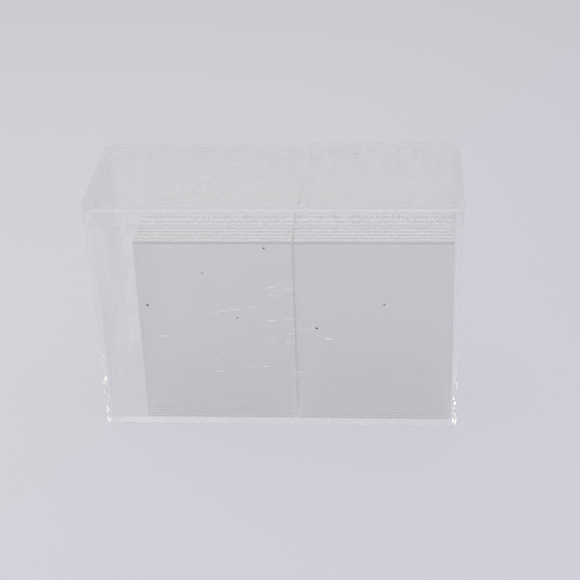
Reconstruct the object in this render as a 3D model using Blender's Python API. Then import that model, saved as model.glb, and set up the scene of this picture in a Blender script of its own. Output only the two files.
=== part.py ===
"""A clear plastic box of hemocytometer cover glasses.

The box is a plain rectangular well with a shallow lid that fits over a thin rim. Two stacks of
loose glass plates stand on edge in it, side by side, with a finger gap at the left.

Units are metres, +Z is up, +X is to the right and +Y is to the back. The origin is the centre of
the box's underside.
"""

from math import radians

import bmesh
import bpy
from mathutils import Matrix

# The cover glass is the standard one for a counting chamber: 20 x 26 mm, 0.4 mm thick.
GLASS_WIDTH = 0.020
GLASS_HEIGHT = 0.026
GLASS_THICKNESS = 0.0004
GLASS_CHAMFER = 0.00004
GLASSES_PER_STACK = 25

# The well is as wide as two stacks and a finger gap.
CLEARANCE = 0.00025
FINGER_GAP = 0.0051
WELL_WIDTH = FINGER_GAP + 2 * GLASS_WIDTH + 2 * CLEARANCE
WELL_DEPTH = 0.0172
WELL_CORNER = 0.0003

# The lid's outer face is a wall's thickness outside the well.
WALL = 0.0009
FLOOR = 0.0009
BOX_WIDTH = WELL_WIDTH + 2 * WALL
BOX_DEPTH = WELL_DEPTH + 2 * WALL
BOX_CORNER = 0.0006

# Heights above the underside.
GLASS_BOTTOM = FLOOR + CLEARANCE
GLASS_TOP = GLASS_BOTTOM + GLASS_HEIGHT
HEADROOM = 0.00475
CEILING = GLASS_TOP + HEADROOM
LID_TOP = CEILING + WALL
LID_HEIGHT = 0.003
SHOULDER = LID_TOP - LID_HEIGHT
SKIRT_BOTTOM = SHOULDER + CLEARANCE
RIM_TOP = CEILING - 2 * CLEARANCE

# The base is a little smaller than the lid, and its walls lean in towards the underside.
LID_OVERHANG = 0.00015
WALL_DRAFT = 0.0002
RIM_THICKNESS = 0.00035
RIM_CORNER = 0.0005
RIM_ROOT = 0.001
LID_PLAY = 0.00012

# Rounded and chamfered edges of the mouldings.
UNDERSIDE_RADIUS = 0.00035
TOP_RADIUS = 0.0003
PARTING_CHAMFER = 0.00012
RIM_CHAMFER = 0.0001
CORNER_SEGMENTS = 4
EDGE_SEGMENTS = 2
CUTTER_OVERSHOOT = 0.002
SMOOTH_ANGLE = radians(30)

# Linear colours of the clear mouldings and of the glass, with their refractive indices.
POLYSTYRENE_COLOUR = (0.64, 0.63, 0.67, 1.0)
POLYSTYRENE_ROUGHNESS = 0.10
POLYSTYRENE_IOR = 1.59
GLASS_COLOUR = (0.54, 0.53, 0.57, 1.0)
GLASS_ROUGHNESS = 0.03
GLASS_IOR = 1.52
CLEARNESS = 0.6


def clear_scene():
    """Remove every object that the file opened with."""
    for thing in list(bpy.data.objects):
        bpy.data.objects.remove(thing, do_unlink=True)


def new_collection(name):
    """Make a collection in the scene."""
    collection = bpy.data.collections.new(name)
    bpy.context.scene.collection.children.link(collection)
    return collection


def clear_material(name, colour, roughness, ior):
    """Make a see-through dielectric."""
    material = bpy.data.materials.new(name)
    material.use_nodes = True
    shader = material.node_tree.nodes["Principled BSDF"]
    shader.inputs["Base Color"].default_value = colour
    shader.inputs["Roughness"].default_value = roughness
    shader.inputs["Metallic"].default_value = 0.0
    shader.inputs["IOR"].default_value = ior
    shader.inputs["Transmission Weight"].default_value = CLEARNESS
    material.diffuse_color = colour
    return material


def block(width, depth, low, high, corner=0.0, draft=0.0):
    """Make an upright block centred on the Z axis, with round corners.

    The block is draft narrower on each side at its low end.
    """
    solid = bmesh.new()
    bmesh.ops.create_cube(solid, size=1.0)
    middle = Matrix.Translation((0.0, 0.0, (low + high) / 2))
    size = Matrix.Diagonal((width, depth, high - low, 1.0))
    bmesh.ops.transform(solid, matrix=middle @ size, verts=solid.verts)
    for vert in solid.verts:
        if vert.co.z < (low + high) / 2:
            vert.co.x -= draft if vert.co.x > 0 else -draft
            vert.co.y -= draft if vert.co.y > 0 else -draft
    if corner:
        upright = [e for e in solid.edges if abs(e.verts[0].co.z - e.verts[1].co.z) > draft]
        bevel_edges(solid, upright, corner, CORNER_SEGMENTS)
    return solid


def bevel_edges(solid, edges, radius, segments):
    """Round off some edges of a block."""
    bmesh.ops.bevel(
        solid,
        geom=edges,
        offset=radius,
        segments=segments,
        profile=0.5,
        affect="EDGES",
    )


def soften_level(solid, level, radius, segments=EDGE_SEGMENTS):
    """Round off the loop of edges that runs round a block at one height."""
    near = 1e-6
    loop = [e for e in solid.edges if all(abs(v.co.z - level) < near for v in e.verts)]
    bevel_edges(solid, loop, radius, segments)


def new_object(name, solid, collection, material=None):
    """Turn a block into an object, shaded smooth except at its sharp edges."""
    mesh = bpy.data.meshes.new(name)
    solid.to_mesh(mesh)
    solid.free()
    mesh.shade_smooth()
    mesh.set_sharp_from_angle(angle=SMOOTH_ANGLE)
    if material:
        mesh.materials.append(material)
    piece = bpy.data.objects.new(name, mesh)
    collection.objects.link(piece)
    return piece


def new_cutter(name, solid, collection):
    """Turn a block into a hidden operand for a Boolean."""
    cutter = new_object(name, solid, collection)
    cutter.hide_render = True
    cutter.display_type = "WIRE"
    return cutter


def add_boolean(piece, operand, operation):
    """Cut the piece with the operand, or join the operand to it."""
    modifier = piece.modifiers.new(operand.name, "BOOLEAN")
    modifier.operation = operation
    modifier.solver = "EXACT"
    modifier.object = operand


def make_base(parts, cutters):
    """Make the open box: a shell with a shoulder, and a thin rim that stands on it."""
    material = clear_material(
        "base_polystyrene", POLYSTYRENE_COLOUR, POLYSTYRENE_ROUGHNESS, POLYSTYRENE_IOR
    )
    shell_width = BOX_WIDTH - 2 * LID_OVERHANG
    shell_depth = BOX_DEPTH - 2 * LID_OVERHANG
    shell = block(shell_width, shell_depth, 0.0, SHOULDER, BOX_CORNER, WALL_DRAFT)
    soften_level(shell, 0.0, UNDERSIDE_RADIUS)
    soften_level(shell, SHOULDER, PARTING_CHAMFER, segments=1)
    base = new_object("box_base", shell, parts, material)

    rim_width = WELL_WIDTH + 2 * RIM_THICKNESS
    rim_depth = WELL_DEPTH + 2 * RIM_THICKNESS
    rim = block(rim_width, rim_depth, SHOULDER - RIM_ROOT, RIM_TOP, RIM_CORNER)
    soften_level(rim, RIM_TOP, RIM_CHAMFER, segments=1)
    add_boolean(base, new_cutter("rim", rim, cutters), "UNION")

    well = block(WELL_WIDTH, WELL_DEPTH, FLOOR, RIM_TOP + CUTTER_OVERSHOOT, WELL_CORNER)
    add_boolean(base, new_cutter("well", well, cutters), "DIFFERENCE")
    return base


def make_lid(parts, cutters):
    """Make the lid: a shallow tray, upside down, whose skirt goes over the rim."""
    material = clear_material(
        "lid_polystyrene", POLYSTYRENE_COLOUR, POLYSTYRENE_ROUGHNESS, POLYSTYRENE_IOR
    )
    tray = block(BOX_WIDTH, BOX_DEPTH, SKIRT_BOTTOM, LID_TOP, BOX_CORNER)
    soften_level(tray, LID_TOP, TOP_RADIUS)
    soften_level(tray, SKIRT_BOTTOM, PARTING_CHAMFER, segments=1)
    lid = new_object("lid", tray, parts, material)

    reach = RIM_THICKNESS + LID_PLAY
    pocket_low = SKIRT_BOTTOM - CUTTER_OVERSHOOT
    pocket = block(
        WELL_WIDTH + 2 * reach, WELL_DEPTH + 2 * reach, pocket_low, CEILING, RIM_CORNER
    )
    add_boolean(lid, new_cutter("lid_pocket", pocket, cutters), "DIFFERENCE")
    return lid


def make_stack(side, left_edge, parts, material, glass_mesh):
    """Stand the glasses of one stack one behind another, from the front wall to the back wall."""
    stack = bpy.data.objects.new(f"stack_{side}", None)
    stack.location = (left_edge + GLASS_WIDTH / 2, 0.0, GLASS_BOTTOM)
    parts.objects.link(stack)
    front = -WELL_DEPTH / 2 + CLEARANCE + GLASS_THICKNESS / 2
    pitch = -2 * front / (GLASSES_PER_STACK - 1)
    for number in range(GLASSES_PER_STACK):
        glass = bpy.data.objects.new(f"cover_glass_{side}_{number + 1:02d}", glass_mesh)
        glass.location = (0.0, front + number * pitch, 0.0)
        glass.parent = stack
        parts.objects.link(glass)


def make_glass_mesh(material):
    """Make one cover glass, with its origin at the middle of its lower edge."""
    plate = block(GLASS_WIDTH, GLASS_THICKNESS, 0.0, GLASS_HEIGHT)
    bevel_edges(plate, list(plate.edges), GLASS_CHAMFER, segments=1)
    mesh = bpy.data.meshes.new("cover_glass")
    plate.to_mesh(mesh)
    plate.free()
    mesh.materials.append(material)
    return mesh


def main():
    """Build the whole box."""
    clear_scene()
    parts = new_collection("hemocytometer_cover_glass_box")
    cutters = new_collection("cutters")
    make_base(parts, cutters)
    make_lid(parts, cutters)

    glass_material = clear_material("cover_glass", GLASS_COLOUR, GLASS_ROUGHNESS, GLASS_IOR)
    glass_mesh = make_glass_mesh(glass_material)
    right_edge = WELL_WIDTH / 2 - CLEARANCE
    right_start = right_edge - GLASS_WIDTH
    left_start = right_start - CLEARANCE - GLASS_WIDTH
    make_stack("left", left_start, parts, glass_material, glass_mesh)
    make_stack("right", right_start, parts, glass_material, glass_mesh)
    bpy.context.view_layer.update()


main()
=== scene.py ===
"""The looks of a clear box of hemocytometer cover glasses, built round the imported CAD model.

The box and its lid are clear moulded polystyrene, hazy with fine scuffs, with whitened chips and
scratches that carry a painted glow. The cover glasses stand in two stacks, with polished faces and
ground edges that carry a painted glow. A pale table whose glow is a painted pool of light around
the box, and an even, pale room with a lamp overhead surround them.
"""

import math
import random

import bmesh
import bpy
from mathutils import Matrix, Vector


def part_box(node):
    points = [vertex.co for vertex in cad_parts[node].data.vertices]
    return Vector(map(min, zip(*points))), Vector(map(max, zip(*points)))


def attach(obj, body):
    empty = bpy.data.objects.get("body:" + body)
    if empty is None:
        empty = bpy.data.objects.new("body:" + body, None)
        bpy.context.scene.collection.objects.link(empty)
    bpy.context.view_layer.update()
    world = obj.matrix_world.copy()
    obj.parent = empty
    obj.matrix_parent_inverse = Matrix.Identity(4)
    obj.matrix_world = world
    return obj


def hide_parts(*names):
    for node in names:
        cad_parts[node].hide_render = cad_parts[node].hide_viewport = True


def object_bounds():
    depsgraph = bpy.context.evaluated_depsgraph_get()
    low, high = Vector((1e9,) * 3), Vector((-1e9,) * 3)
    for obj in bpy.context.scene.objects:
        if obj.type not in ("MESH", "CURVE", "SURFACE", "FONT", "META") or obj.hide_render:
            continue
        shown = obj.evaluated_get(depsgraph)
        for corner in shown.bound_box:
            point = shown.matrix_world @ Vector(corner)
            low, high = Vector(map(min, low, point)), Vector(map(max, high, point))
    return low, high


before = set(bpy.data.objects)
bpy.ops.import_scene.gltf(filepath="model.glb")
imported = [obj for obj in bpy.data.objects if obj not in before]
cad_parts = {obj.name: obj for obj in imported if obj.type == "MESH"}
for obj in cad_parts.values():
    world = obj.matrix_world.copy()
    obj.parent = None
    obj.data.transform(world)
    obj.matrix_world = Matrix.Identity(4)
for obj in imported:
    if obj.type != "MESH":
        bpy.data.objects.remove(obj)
cad_low, cad_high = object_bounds()

# Sizes are in metres. The box's heights, widths and depths come from the frame's own boxes.
MM = 0.001

# The two mouldings: walls, gaps and play.
WALL = 0.9 * MM
LID_OVERHANG = 0.15 * MM
WALL_DRAFT = 0.2 * MM
RIM_THICKNESS = 0.35 * MM
LID_PLAY = 0.12 * MM
SKIRT_GAP = 0.25 * MM

# The two mouldings: upright corners, and rounded edges.
OUTER_CORNER = 0.6 * MM
RIM_CORNER = 0.5 * MM
WELL_CORNER = 0.3 * MM
SMALLEST_CORNER = 0.05 * MM
UNDERSIDE_RADIUS = 0.35 * MM
TOP_RADIUS = 0.3 * MM
PARTING_RADIUS = 0.12 * MM
RIM_TIP = 0.1 * MM
FLOOR_FILLET = 0.15 * MM
CEILING_FILLET = 0.4 * MM

# How finely corners and rounded edges are divided, and which edges stay sharp.
CORNER_STEPS = 8
ARC_STEPS = 5
SMOOTH_ANGLE = math.radians(35)

# The cover glasses. They rest on the well's floor, and no two stand quite alike.
SIDES = ("left", "right")
GLASSES_PER_STACK = 25
GLASS_GRIND = 0.05 * MM
GLASS_DROP = 0.22 * MM
GLASS_PLAY = 0.02 * MM
GLASS_HEIGHT_PLAY = 0.012 * MM
GLASS_SEED = 7
FACE, UPPER_EDGE, LOWER_EDGE, SIDE_EDGE = range(4)

# The small marks on the plastic: bruises along the lower edges, hairline scratches, and dust. The
# bruises and scratches are white flakes that also carry a painted glow.
FLAKE_SIDES = 7
BRUISED_HEIGHT = 7 * MM
BRUISE_SINK = 0.03 * MM
CORNER_BRUISES = 26
EDGE_BRUISES = 46
SCRATCHES = 26
MARK_SEED = 11
DUST_SINK = 0.01 * MM
BASE_DUST = 6
LID_DUST = 2
DUST_SEED = 3

# The camera stands in front, a little to the right, and looks down at the box.
CAMERA_PLACE = Vector((15.68, -172.97, 113.17)) * MM
CAMERA_TURN = math.radians(4.785)
CAMERA_TILT = math.radians(90 - 29.361)
CAMERA_ROLL = math.radians(-2.137)
LENS_LENGTH = 92.58

# A ray crosses more than 50 clear surfaces on its way through a stack.
BOUNCES = 256

# The studio: a pale table whose glow is a painted pool of light, fading and cooling away from the
# box, an even pale room, and a soft lamp nearly overhead, which starts and is full at these upward
# parts of a unit direction. Colours are linear.
STUDIO_COLOUR = (1.0, 0.98, 1.04)
COOL_STUDIO_COLOUR = (0.96, 0.945, 1.06)
FLOOR_RADIUS = 2.5
FLOOR_DROP = 0.02 * MM
FLOOR_ALBEDO = 0.12
FLOOR_PAINTED_GLOW = 0.585
FLOOR_FADE = 0.72
POOL_CENTRE = Vector((-60, -60, 0)) * MM
POOL_INSIDE = 30 * MM
POOL_OUTSIDE = 500 * MM
COOL_WAY = Vector((1.0, -0.5, 0.0))
COOLING = (-60 * MM, 40 * MM)
ROOM_BRIGHTNESS = 0.61
LAMP_BRIGHTNESS = 0.5
LAMP_EDGE = 0.85
LAMP_FULL = 0.95

# Clear polystyrene. Its front and its floor are clean; the other walls are a little mottled.
POLYSTYRENE_IOR = 1.59
POLYSTYRENE_SMOOTHEST = 0.008
POLYSTYRENE_ROUGHEST = 0.06
CLEAN_POLYSTYRENE = (1.0, 1.0, 0.999)
HAZY_BASE = (0.95, 0.95, 0.945)
HAZY_LID = (0.996, 0.996, 0.993)
CLEAN_FRONT = (cad_low.y + 1.1 * MM, cad_low.y + 2.3 * MM)
CLEAN_FLOOR = (cad_low.z + 1.0 * MM, cad_low.z + 2.5 * MM)
HAZE_DEPTH = 0.04 * MM
FLOW_DEPTH = 0.1 * MM
FRONT_BUMP = 0.15
HAZE_BUMP = 0.4

# Cover glass: polished faces, and ground edges with a painted glow in place of the light the glass
# carries, brightest on the upper edges and dimmest on the sides.
GLASS_IOR = 1.52
CLEAN_GLASS = (0.9951, 0.9954, 0.9939)
SMEARED_GLASS = (0.9941, 0.9944, 0.9929)
EDGE_WHITENESS = 0.75
UPPER_EDGE_PAINTED_GLOW = 0.38
LOWER_EDGE_PAINTED_GLOW = 0.33
SIDE_EDGE_PAINTED_GLOW = 0.23
# The front glass's upper edge is a greyer, less glowing copy of the upper edge: painted shade.
FRONT_EDGE_SHADED_WHITENESS = 0.65
FRONT_EDGE_PAINTED_GLOW = 0.22
GRIND_PAINTED_GLOW_TONE = (1.0, 0.985, 0.965)

# Stress-whitened plastic, with a painted warm glow.
BRUISE_PAINTED_GLOW = 0.5
SCRATCH_PAINTED_GLOW = 0.42
WARM_PAINTED_GLOW = (1.0, 0.97, 0.92)


def rounded_ring(half_width, half_depth, radius, height):
    """The points of a rectangle with round corners at one height, anticlockwise from above."""
    points = []
    corners = ((1, -1, -90), (1, 1, 0), (-1, 1, 90), (-1, -1, 180))
    for sign_x, sign_y, first in corners:
        centre_x = sign_x * (half_width - radius)
        centre_y = sign_y * (half_depth - radius)
        for step in range(CORNER_STEPS + 1):
            angle = math.radians(first + 90 * step / CORNER_STEPS)
            x = centre_x + radius * math.cos(angle)
            y = centre_y + radius * math.sin(angle)
            points.append(Vector((x, y, height)))
    return points


def arc(inset, height, radius, start, end):
    """Points (inset, height) of an arc round a centre, between two angles in degrees."""
    points = []
    for step in range(ARC_STEPS + 1):
        angle = math.radians(start + (end - start) * step / ARC_STEPS)
        points.append((inset + radius * math.cos(angle), height + radius * math.sin(angle)))
    return points


def with_corner(points, corner, wall):
    """Give each (inset, height) point a corner radius, concentric with the wall's own corner."""
    rounded = []
    for inset, height in points:
        radius = max(corner + wall - inset, SMALLEST_CORNER)
        rounded.append((inset, height, radius))
    return rounded


def link(mesh):
    """Put a mesh into the scene as an object of the same name."""
    piece = bpy.data.objects.new(mesh.name, mesh)
    bpy.context.scene.collection.objects.link(piece)
    return piece


def lofted_shell(name, half_width, half_depth, profile):
    """A closed shell: rings along a profile of (inset, height, corner), with both ends capped."""
    solid = bmesh.new()
    rings = []
    for inset, height, corner in profile:
        ring = rounded_ring(half_width - inset, half_depth - inset, corner, height)
        rings.append([solid.verts.new(point) for point in ring])
    count = len(rings[0])
    for lower, upper in zip(rings, rings[1:]):
        for here in range(count):
            there = (here + 1) % count
            solid.faces.new((lower[here], lower[there], upper[there], upper[here]))
    solid.faces.new(rings[0])
    solid.faces.new(rings[-1])
    bmesh.ops.recalc_face_normals(solid, faces=solid.faces)
    mesh = bpy.data.meshes.new(name)
    solid.to_mesh(mesh)
    solid.free()
    mesh.shade_smooth()
    mesh.set_sharp_from_angle(angle=SMOOTH_ANGLE)
    return link(mesh)


def make_base():
    """The box: underside, outer wall, shoulder, rim, and down the well to its floor."""
    low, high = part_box("box_base")
    lid_low, lid_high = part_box("lid")
    shoulder = lid_low.z - SKIRT_GAP
    foot_inset = LID_OVERHANG + WALL_DRAFT
    rim_outside = WALL - RIM_THICKNESS

    foot = arc(foot_inset + UNDERSIDE_RADIUS, low.z + UNDERSIDE_RADIUS, UNDERSIDE_RADIUS, 270, 180)
    parting = arc(
        LID_OVERHANG + PARTING_RADIUS, shoulder - PARTING_RADIUS, PARTING_RADIUS, 180, 90
    )
    tip_outside = arc(rim_outside + RIM_TIP, high.z - RIM_TIP, RIM_TIP, 180, 90)
    tip_inside = arc(WALL - RIM_TIP, high.z - RIM_TIP, RIM_TIP, 90, 0)
    floor = arc(WALL + FLOOR_FILLET, low.z + WALL + FLOOR_FILLET, FLOOR_FILLET, 180, 270)

    profile = with_corner(foot, OUTER_CORNER, foot_inset)
    profile += with_corner(parting, OUTER_CORNER, LID_OVERHANG)
    profile.append((rim_outside, shoulder, RIM_CORNER))
    profile += with_corner(tip_outside, RIM_CORNER, rim_outside)
    profile += with_corner(tip_inside, WELL_CORNER, WALL)
    profile += with_corner(floor, WELL_CORNER, WALL)
    return lofted_shell("base_shell", lid_high.x, lid_high.y, profile)


def make_lid():
    """The lid: top, outer edge, skirt, and up inside to the ceiling."""
    low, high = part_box("lid")
    pocket = WALL - RIM_THICKNESS - LID_PLAY
    ceiling = high.z - WALL

    top = arc(TOP_RADIUS, high.z - TOP_RADIUS, TOP_RADIUS, 90, 180)
    lip = arc(PARTING_RADIUS, low.z + PARTING_RADIUS, PARTING_RADIUS, 180, 270)
    inside = arc(pocket + CEILING_FILLET, ceiling - CEILING_FILLET, CEILING_FILLET, 180, 90)

    profile = with_corner(top, OUTER_CORNER, 0.0)
    profile += with_corner(lip, OUTER_CORNER, 0.0)
    profile.append((pocket, low.z, RIM_CORNER))
    profile += with_corner(inside, RIM_CORNER, pocket)
    return lofted_shell("lid_shell", high.x, high.y, profile)


def make_plate(side, number, chance):
    """One cover glass, resting on the well's floor, with slightly rounded ground edges."""
    node = f"cover_glass_{side}_{number:02d}"
    low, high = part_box(node)
    width = high.x - low.x
    thickness = high.y - low.y
    height = high.z - low.z - chance.uniform(0.0, GLASS_HEIGHT_PLAY)
    plate = bmesh.new()
    bmesh.ops.create_cube(plate, size=1.0)
    shape = Matrix.Diagonal((width, thickness, height, 1.0))
    bmesh.ops.transform(plate, matrix=shape, verts=plate.verts)
    bmesh.ops.bevel(
        plate,
        geom=list(plate.edges),
        offset=GLASS_GRIND,
        segments=2,
        profile=0.5,
        affect="EDGES",
    )
    middle = (low + high) / 2
    middle.x += chance.uniform(-GLASS_PLAY, GLASS_PLAY)
    middle.z = low.z + height / 2 - GLASS_DROP
    bmesh.ops.transform(plate, matrix=Matrix.Translation(middle), verts=plate.verts)
    for face in plate.faces:
        if abs(face.normal.y) > 0.9:
            face.material_index = FACE
        elif face.normal.z > 0.1:
            face.material_index = UPPER_EDGE
        elif face.normal.z < -0.1:
            face.material_index = LOWER_EDGE
        else:
            face.material_index = SIDE_EDGE
    mesh = bpy.data.meshes.new(f"plate_{side}_{number:02d}")
    plate.to_mesh(mesh)
    plate.free()
    return link(mesh), node


def flake(solid, centre, along, across, outward, chance):
    """Add one small, irregular, flat-bottomed flake to a mesh, lying on a surface."""
    rim = []
    for step in range(FLAKE_SIDES):
        angle = math.tau * step / FLAKE_SIDES
        reach = chance.uniform(0.6, 1.0)
        edge = along * (math.cos(angle) * reach) + across * (math.sin(angle) * reach)
        rim.append(solid.verts.new(centre + edge))
    shift = along * chance.uniform(-0.3, 0.3) + across * chance.uniform(-0.3, 0.3)
    crown = solid.verts.new(centre + shift + outward)
    for here in range(FLAKE_SIDES):
        solid.faces.new((rim[here], rim[(here + 1) % FLAKE_SIDES], crown))
    solid.faces.new(list(reversed(rim)))


def flakes(name, material, places):
    """A piece made of flakes. Each place is (centre, along, across, outward, chance)."""
    solid = bmesh.new()
    for place in places:
        flake(solid, *place)
    bmesh.ops.recalc_face_normals(solid, faces=solid.faces)
    mesh = bpy.data.meshes.new(name)
    solid.to_mesh(mesh)
    solid.free()
    mesh.materials.append(material)
    return link(mesh)


def wall_inset(height, shoulder):
    """How far the leaning outer wall of the base is inside the lid's face at one height."""
    return LID_OVERHANG + WALL_DRAFT * (1 - height / shoulder)


def make_bruises(material, chance):
    """Stress-whitened chips, low on the four upright edges and along the front and back feet."""
    lid_low, lid_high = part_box("lid")
    shoulder = lid_low.z - SKIRT_GAP
    up = Vector((0, 0, 1))
    places = []
    for sign_x in (-1, 1):
        for sign_y in (-1, 1):
            for _ in range(CORNER_BRUISES):
                height = UNDERSIDE_RADIUS + BRUISED_HEIGHT * chance.random() ** 1.6
                angle = chance.uniform(0.0, math.pi / 2)
                outward = Vector((sign_x * math.cos(angle), sign_y * math.sin(angle), 0.0))
                inset = wall_inset(height, shoulder) + OUTER_CORNER
                centre = outward * (OUTER_CORNER - BRUISE_SINK)
                centre.x += sign_x * (lid_high.x - inset)
                centre.y += sign_y * (lid_high.y - inset)
                centre.z = height
                long = chance.uniform(0.1, 0.55) * MM
                wide = chance.uniform(0.05, 0.16) * MM
                across = outward.cross(up) * wide
                places.append((centre, up * long, across, outward * 0.05 * MM, chance))
    foot = WALL_DRAFT + LID_OVERHANG + UNDERSIDE_RADIUS * 0.35
    for sign in (-1, 1):
        for _ in range(EDGE_BRUISES):
            outward = Vector((0.0, sign, -1.0)).normalized()
            centre = Vector(
                (chance.uniform(-0.98, 0.98) * lid_high.x, sign * (lid_high.y - foot), 0.0)
            )
            centre.z = UNDERSIDE_RADIUS * 0.5
            along = Vector((1, 0, 0)) * chance.uniform(0.06, 0.35) * MM
            across = Vector((0.0, sign, 1.0)).normalized() * chance.uniform(0.02, 0.08) * MM
            places.append((centre, along, across, outward * 0.02 * MM, chance))
    return flakes("edge_bruises_painted_glow", material, places)


def make_scratches(material, chance):
    """Hairline scratches, mostly in the middle of the front wall."""
    lid_low, lid_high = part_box("lid")
    shoulder = lid_low.z - SKIRT_GAP
    outward = Vector((0, -1, 0))
    places = []
    for _ in range(SCRATCHES):
        height = shoulder * chance.uniform(0.25, 0.72)
        centre = Vector((lid_high.x * chance.gauss(-0.1, 0.25), 0.0, height))
        centre.y = -(lid_high.y - wall_inset(height, shoulder)) + 0.004 * MM
        along = Vector((1, 0, chance.uniform(-0.05, 0.05))) * chance.uniform(0.25, 1.3) * MM
        across = Vector((0, 0, 1)) * chance.uniform(0.015, 0.035) * MM
        places.append((centre, along, across, outward * 0.02 * MM, chance))
    return flakes("front_scratches_painted_glow", material, places)


def make_dust(name, material, node, count, chance):
    """Specks of dust on the front of the base, or on the top of the lid."""
    low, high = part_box(node)
    lid_low, lid_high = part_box("lid")
    shoulder = lid_low.z - SKIRT_GAP
    places = []
    for _ in range(count):
        size = chance.uniform(0.14, 0.21) * MM
        if node == "lid":
            outward = Vector((0, 0, 1))
            centre = Vector(
                (chance.uniform(-0.8, 0.8) * high.x, chance.uniform(-0.8, 0.8) * high.y, high.z)
            )
            across = Vector((0, 1, 0))
        else:
            outward = Vector((0, -1, 0))
            height = chance.uniform(0.15, 0.9) * shoulder
            front = -(lid_high.y - wall_inset(height, shoulder))
            centre = Vector((chance.uniform(-0.8, 0.8) * high.x, front, height))
            across = Vector((0, 0, 1))
        centre -= outward * DUST_SINK
        along = Vector((1, 0, 0)) * size
        places.append((centre, along, across * size * 0.8, outward * size * 0.35, chance))
    return flakes(name, material, places)


class Nodes:
    """A material's node tree, with short calls for the nodes used here."""

    def __init__(self, name):
        self.material = bpy.data.materials.new(name)
        self.material.use_nodes = True
        self.tree = self.material.node_tree
        self.shader = self.tree.nodes["Principled BSDF"]
        self.place = self.tree.nodes.new("ShaderNodeTexCoord").outputs["Object"]

    def join(self, source, target):
        """Link one socket to another."""
        self.tree.links.new(source, target)

    def noise(self, scale, detail=3.0, stretch=(1.0, 1.0, 1.0)):
        """Noise with features of about 1/scale metres, longer along an axis of smaller stretch."""
        mapping = self.tree.nodes.new("ShaderNodeMapping")
        mapping.inputs["Scale"].default_value = stretch
        self.join(self.place, mapping.inputs["Vector"])
        noise = self.tree.nodes.new("ShaderNodeTexNoise")
        noise.inputs["Scale"].default_value = scale
        noise.inputs["Detail"].default_value = detail
        noise.inputs["Roughness"].default_value = 0.6
        self.join(mapping.outputs["Vector"], noise.inputs["Vector"])
        return noise.outputs["Fac"]

    def span(self, source, low, high, to_low, to_high):
        """Spread a value from one range to another, smoothly and within its ends."""
        spread = self.tree.nodes.new("ShaderNodeMapRange")
        spread.interpolation_type = "SMOOTHSTEP"
        spread.inputs["From Min"].default_value = low
        spread.inputs["From Max"].default_value = high
        spread.inputs["To Min"].default_value = to_low
        spread.inputs["To Max"].default_value = to_high
        self.join(source, spread.inputs["Value"])
        return spread.outputs["Result"]

    def multiply(self, first, second):
        """The product of two values."""
        product = self.tree.nodes.new("ShaderNodeMath")
        product.operation = "MULTIPLY"
        self.join(first, product.inputs[0])
        self.join(second, product.inputs[1])
        return product.outputs["Value"]

    def vector_math(self, operation, operand):
        """The value of a vector operation between the place on the surface and a fixed vector."""
        node = self.tree.nodes.new("ShaderNodeVectorMath")
        node.operation = operation
        node.inputs[1].default_value = operand
        self.join(self.place, node.inputs[0])
        return node.outputs["Value"]

    def blend(self, factor, first, second):
        """A colour between two colours."""
        mix = self.tree.nodes.new("ShaderNodeMix")
        mix.data_type = "RGBA"
        mix.inputs["A"].default_value = (*first, 1.0)
        mix.inputs["B"].default_value = (*second, 1.0)
        self.join(factor, mix.inputs["Factor"])
        return mix.outputs["Result"]

    def bump(self, height, strength, depth, under=None):
        """A bump from a height value, over another bump if there is one.

        The strength is a number, or a socket if it varies over the surface.
        """
        bump = self.tree.nodes.new("ShaderNodeBump")
        if isinstance(strength, bpy.types.NodeSocket):
            self.join(strength, bump.inputs["Strength"])
        else:
            bump.inputs["Strength"].default_value = strength
        bump.inputs["Distance"].default_value = depth
        self.join(height, bump.inputs["Height"])
        if under is not None:
            self.join(under, bump.inputs["Normal"])
        return bump.outputs["Normal"]


def polystyrene(name, hazy):
    """Clear moulded polystyrene: a slow flow ripple, and a fine, uneven haze of scuffs."""
    nodes = Nodes(name)
    shader = nodes.shader
    shader.inputs["Transmission Weight"].default_value = 1.0
    shader.inputs["IOR"].default_value = POLYSTYRENE_IOR
    ripple = nodes.noise(160.0, 1.0)
    grain = nodes.noise(1500.0, 4.0)
    scuffs = nodes.noise(2600.0, 2.0, (1.0, 1.0, 0.14))
    blotches = nodes.noise(850.0, 2.0, (1.0, 1.0, 0.6))
    patches = nodes.noise(90.0, 2.0)
    haze = nodes.multiply(
        nodes.span(grain, 0.35, 0.7, 0.3, 1.0), nodes.span(scuffs, 0.4, 0.65, 0.4, 1.0)
    )
    haze = nodes.multiply(haze, nodes.span(patches, 0.35, 0.65, 0.6, 1.0))
    rough = nodes.span(haze, 0.0, 1.0, POLYSTYRENE_SMOOTHEST, POLYSTYRENE_ROUGHEST)
    nodes.join(rough, shader.inputs["Roughness"])
    back = nodes.vector_math("DOT_PRODUCT", Vector((0, 1, 0)))
    up = nodes.vector_math("DOT_PRODUCT", Vector((0, 0, 1)))
    rear = nodes.span(back, *CLEAN_FRONT, 0.0, 1.0)
    walls = nodes.multiply(rear, nodes.span(up, *CLEAN_FLOOR, 0.0, 1.0))
    mottle = nodes.multiply(nodes.span(blotches, 0.45, 0.6, 0.0, 1.0), walls)
    nodes.join(nodes.blend(mottle, CLEAN_POLYSTYRENE, hazy), shader.inputs["Base Color"])
    strength = nodes.span(rear, 0.0, 1.0, FRONT_BUMP, HAZE_BUMP)
    flow = nodes.bump(ripple, 0.3, FLOW_DEPTH)
    scuffed = nodes.bump(scuffs, strength, HAZE_DEPTH, flow)
    nodes.join(nodes.bump(grain, strength, HAZE_DEPTH, scuffed), shader.inputs["Normal"])
    return nodes.material


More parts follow.
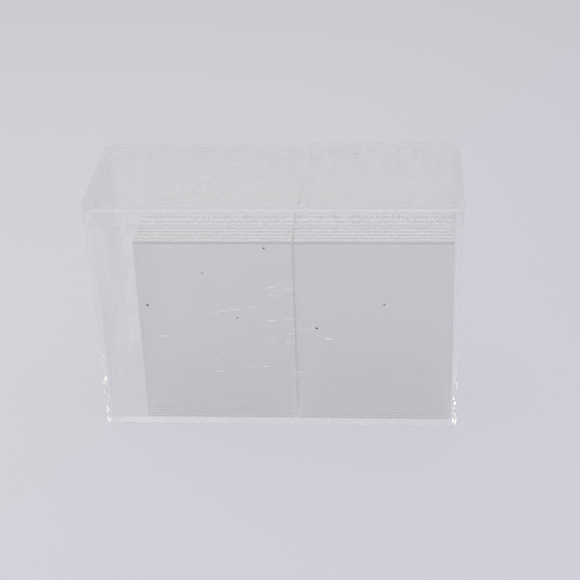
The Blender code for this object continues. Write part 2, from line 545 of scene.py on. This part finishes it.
def polished_glass():
    """The polished faces of a cover glass, with faint smears."""
    nodes = Nodes("cover_glass_face")
    shader = nodes.shader
    shader.inputs["Transmission Weight"].default_value = 1.0
    shader.inputs["IOR"].default_value = GLASS_IOR
    smears = nodes.noise(220.0, 3.0, (1.0, 1.0, 0.5))
    nodes.join(nodes.span(smears, 0.45, 0.75, 0.0, 0.006), shader.inputs["Roughness"])
    nodes.join(nodes.blend(smears, CLEAN_GLASS, SMEARED_GLASS), shader.inputs["Base Color"])
    nodes.join(nodes.bump(smears, 0.05, 0.01 * MM), shader.inputs["Normal"])
    return nodes.material


def ground_glass_painted_glow(name, whiteness, glow):
    """A ground edge of a cover glass: a white grind with tiny chips, and a painted glow in place of
    the light carried by the glass inside.
    """
    nodes = Nodes(name)
    shader = nodes.shader
    shader.inputs["IOR"].default_value = GLASS_IOR
    grind = nodes.noise(9000.0, 3.0)
    chips = nodes.noise(1300.0, 2.0)
    nodes.join(nodes.span(grind, 0.35, 0.65, 0.35, 0.6), shader.inputs["Roughness"])
    pale = (whiteness, whiteness, whiteness)
    grey = (0.9 * whiteness, 0.9 * whiteness, 0.88 * whiteness)
    nodes.join(nodes.blend(chips, pale, grey), shader.inputs["Base Color"])
    nodes.join(nodes.bump(grind, 0.3, 0.004 * MM), shader.inputs["Normal"])
    # Painted light: this emission stands in for the light carried through the glass to its edges.
    shader.inputs["Emission Color"].default_value = (*GRIND_PAINTED_GLOW_TONE, 1.0)
    shader.inputs["Emission Strength"].default_value = glow
    return nodes.material


def bruised_plastic_painted_glow(name, glow):
    """Stress-whitened plastic, with a painted warm glow in place of the light that the walls carry.
    """
    nodes = Nodes(name)
    shader = nodes.shader
    crumbs = nodes.noise(5000.0, 3.0)
    white = nodes.blend(crumbs, (0.94, 0.92, 0.88), (1.0, 0.98, 0.95))
    nodes.join(white, shader.inputs["Base Color"])
    nodes.join(nodes.span(crumbs, 0.3, 0.7, 0.25, 0.5), shader.inputs["Roughness"])
    nodes.join(nodes.bump(crumbs, 0.6, 0.02 * MM), shader.inputs["Normal"])
    # Painted light: a warm emission that makes the whitened flakes sparkle.
    shader.inputs["Emission Color"].default_value = (*WARM_PAINTED_GLOW, 1.0)
    shader.inputs["Emission Strength"].default_value = glow
    return nodes.material


def dark_dust():
    """Dark fibres and grit."""
    nodes = Nodes("dust")
    shader = nodes.shader
    fibre = nodes.noise(9000.0, 2.0)
    dark = nodes.blend(fibre, (0.012, 0.012, 0.014), (0.05, 0.045, 0.04))
    nodes.join(dark, shader.inputs["Base Color"])
    nodes.join(nodes.span(fibre, 0.3, 0.7, 0.7, 0.95), shader.inputs["Roughness"])
    nodes.join(nodes.bump(fibre, 0.5, 0.02 * MM), shader.inputs["Normal"])
    return nodes.material


def make_stage():
    """A pale table with a painted glow: a pool of light that fades and cools away from the box."""
    solid = bmesh.new()
    bmesh.ops.create_circle(solid, cap_ends=True, radius=FLOOR_RADIUS, segments=64)
    mesh = bpy.data.meshes.new("studio_floor")
    solid.to_mesh(mesh)
    solid.free()
    floor = link(mesh)
    floor.location.z = -FLOOR_DROP
    nodes = Nodes("pale_table_painted_light_pool")
    shader = nodes.shader
    shader.inputs["Base Color"].default_value = (FLOOR_ALBEDO, FLOOR_ALBEDO, FLOOR_ALBEDO, 1.0)
    shader.inputs["Roughness"].default_value = 0.8
    shader.inputs["Specular IOR Level"].default_value = 0.0
    # Painted light: the table's emission is a pool of light round the box that fades and cools away
    # from it.
    away = nodes.vector_math("DISTANCE", POOL_CENTRE)
    glow = nodes.span(away, POOL_INSIDE, POOL_OUTSIDE, FLOOR_PAINTED_GLOW, FLOOR_FADE * FLOOR_PAINTED_GLOW)
    nodes.join(glow, shader.inputs["Emission Strength"])
    along = nodes.vector_math("DOT_PRODUCT", COOL_WAY)
    cool = nodes.span(along, *COOLING, 0.0, 1.0)
    tone = nodes.blend(cool, STUDIO_COLOUR, COOL_STUDIO_COLOUR)
    nodes.join(tone, shader.inputs["Emission Color"])
    mesh.materials.append(nodes.material)


def make_light():
    """An even, pale studio with a soft lamp overhead."""
    world = bpy.data.worlds.new("studio")
    bpy.context.scene.world = world
    world.use_nodes = True
    tree = world.node_tree
    background = tree.nodes["Background"]
    background.inputs["Color"].default_value = (*STUDIO_COLOUR, 1.0)
    direction = tree.nodes.new("ShaderNodeTexCoord")
    split = tree.nodes.new("ShaderNodeSeparateXYZ")
    tree.links.new(direction.outputs["Generated"], split.inputs["Vector"])
    lamp = tree.nodes.new("ShaderNodeMapRange")
    lamp.interpolation_type = "SMOOTHSTEP"
    lamp.inputs["From Min"].default_value = LAMP_EDGE
    lamp.inputs["From Max"].default_value = LAMP_FULL
    lamp.inputs["To Min"].default_value = ROOM_BRIGHTNESS
    lamp.inputs["To Max"].default_value = ROOM_BRIGHTNESS + LAMP_BRIGHTNESS
    tree.links.new(split.outputs["Z"], lamp.inputs["Value"])
    tree.links.new(lamp.outputs["Result"], background.inputs["Strength"])


def make_camera():
    """Place the camera."""
    data = bpy.data.cameras.new("camera")
    data.sensor_width = 36.0
    data.lens = LENS_LENGTH
    data.clip_start = 0.005
    data.clip_end = 10.0
    camera = bpy.data.objects.new("camera", data)
    bpy.context.scene.collection.objects.link(camera)
    turn = Matrix.Rotation(CAMERA_TURN, 4, "Z")
    tilt = Matrix.Rotation(CAMERA_TILT, 4, "X")
    roll = Matrix.Rotation(CAMERA_ROLL, 4, "Z")
    camera.matrix_world = Matrix.Translation(CAMERA_PLACE) @ turn @ tilt @ roll
    bpy.context.scene.camera = camera


def place_piece(piece, node):
    """Let a piece ride the node's body."""
    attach(piece, node)


def make_box():
    """Make the base and the lid, with the marks and dust on them."""
    shells = (("box_base", make_base(), HAZY_BASE), ("lid", make_lid(), HAZY_LID))
    for node, piece, hazy in shells:
        piece.data.materials.append(polystyrene(f"{node}_polystyrene", hazy))
        place_piece(piece, node)
        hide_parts(node)
    chance = random.Random(MARK_SEED)
    bruised_with_painted_glow = bruised_plastic_painted_glow("bruised_polystyrene_painted_glow", BRUISE_PAINTED_GLOW)
    # The scratches also glow with painted light, like the bruises.
    scratched_with_painted_glow = bruised_plastic_painted_glow("scratched_polystyrene_painted_glow", SCRATCH_PAINTED_GLOW)
    place_piece(make_bruises(bruised_with_painted_glow, chance), "box_base")
    place_piece(make_scratches(scratched_with_painted_glow, chance), "box_base")
    dust = dark_dust()
    chance = random.Random(DUST_SEED)
    for node, count in (("box_base", BASE_DUST), ("lid", LID_DUST)):
        place_piece(make_dust(f"{node}_dust", dust, node, count, chance), node)


def make_stacks():
    """Stand the cover glasses in their two stacks."""
    face = polished_glass()
    upper_edge = ground_glass_painted_glow("upper_edge", EDGE_WHITENESS, UPPER_EDGE_PAINTED_GLOW)
    lower_edge = ground_glass_painted_glow("lower_edge", EDGE_WHITENESS, LOWER_EDGE_PAINTED_GLOW)
    side_edge = ground_glass_painted_glow("side_edge", EDGE_WHITENESS, SIDE_EDGE_PAINTED_GLOW)
    front_edge_painted_glow_and_shade = ground_glass_painted_glow("front_edge_painted_glow_and_shade", FRONT_EDGE_SHADED_WHITENESS, FRONT_EDGE_PAINTED_GLOW)
    chance = random.Random(GLASS_SEED)
    for side in SIDES:
        for number in range(1, GLASSES_PER_STACK + 1):
            plate, node = make_plate(side, number, chance)
            plate.data.materials.append(face)
            # The front glass's upper edge takes the dimmer copy, which is painted shade.
            plate.data.materials.append(front_edge_painted_glow_and_shade if number == 1 else upper_edge)
            plate.data.materials.append(lower_edge)
            plate.data.materials.append(side_edge)
            place_piece(plate, node)
            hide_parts(node)


def main():
    """Set up the studio and build every piece."""
    scene = bpy.context.scene
    scene.view_settings.view_transform = "Standard"
    scene.cycles.max_bounces = BOUNCES
    scene.cycles.transmission_bounces = BOUNCES
    scene.cycles.glossy_bounces = BOUNCES
    make_camera()
    make_stage()
    make_light()
    make_box()
    make_stacks()


main()
